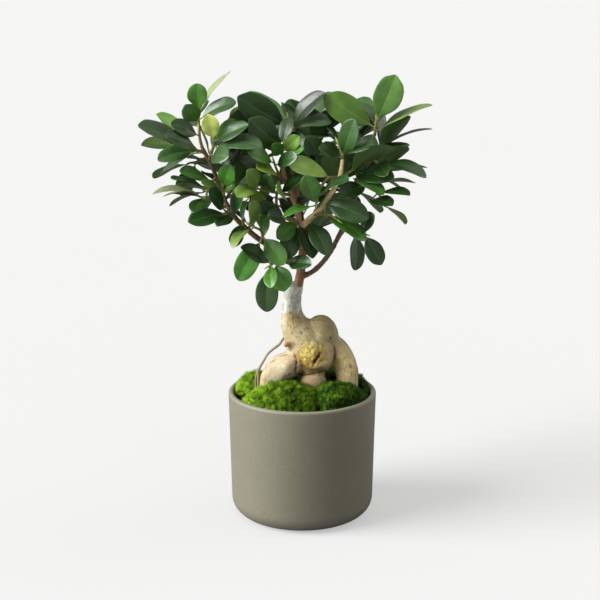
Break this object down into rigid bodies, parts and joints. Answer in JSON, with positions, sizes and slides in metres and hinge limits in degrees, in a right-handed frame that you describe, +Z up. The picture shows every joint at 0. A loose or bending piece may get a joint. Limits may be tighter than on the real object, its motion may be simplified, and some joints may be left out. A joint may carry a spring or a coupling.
{
  "type": "ficus ginseng bonsai",
  "caption": "Grafted ginseng fig with swollen roots and a fan of leafy shoots, standing in soil and moss in a plain round pot.",
  "frame": {"origin": "middle of the pot's flat underside", "axes": "+Z up, -Y towards the front of the plant, +X to the right seen from the front"},
  "size_m": [0.2464, 0.1619, 0.3893],
  "materials": {
    "pot_glaze": "matt olive grey ceramic glaze with a soft sheen",
    "soil": "dark crumbly potting soil",
    "root_bark": "smooth tan bark with dark pores and a whitish grafting wax collar",
    "branch_bark": "red-brown young bark, greener towards the tips",
    "moss": "dense fresh green moss",
    "foliage": "waxy green leaves with a pale midrib, paler underneath"
  },
  "bodies": {
    "root": {"pot": "pot_glaze", "potting_soil": "soil", "rootstock": "root_bark", "branches": "branch_bark", "moss_front_left": "moss", "moss_front_right": "moss", "moss_left": "moss", "moss_right": "moss", "moss_back_left": "moss", "moss_back_right": "moss", "shoot_front_right": "foliage", "shoot_right_tip": "foliage", "shoot_right_top": "foliage", "shoot_right_outer": "foliage", "shoot_right_middle": "foliage", "shoot_right_low": "foliage", "shoot_right_hanging": "foliage", "shoot_centre_top": "foliage", "shoot_centre_young": "foliage", "shoot_centre_middle": "foliage", "shoot_centre_left": "foliage", "shoot_stem_front": "foliage", "shoot_left_low": "foliage", "shoot_low_front": "foliage", "shoot_left_middle": "foliage", "shoot_left_lower": "foliage", "shoot_left_pair": "foliage", "shoot_left_inner": "foliage", "shoot_left_outer": "foliage", "shoot_left_top": "foliage", "shoot_inner_left": "foliage", "shoot_inner_right": "foliage", "shoot_left_tuft": "foliage", "shoot_back_left_tip": "foliage", "shoot_back_left": "foliage", "shoot_back_right_tip": "foliage", "shoot_back_right": "foliage", "shoot_back_top": "foliage", "shoot_back_middle": "foliage", "shoot_back_low": "foliage", "shoot_top_right": "foliage", "shoot_back_outer_left": "foliage", "shoot_back_outer_right": "foliage", "shoot_deep_left": "foliage", "shoot_deep_left_high": "foliage", "shoot_deep_left_low": "foliage", "shoot_deep_centre_high": "foliage", "shoot_deep_right": "foliage", "shoot_deep_right_low": "foliage", "shoot_deep_right_high": "foliage", "shoot_deep_low": "foliage", "shoot_side_left": "foliage", "shoot_side_left_low": "foliage", "shoot_side_right": "foliage"}
  },
  "joints": []
}
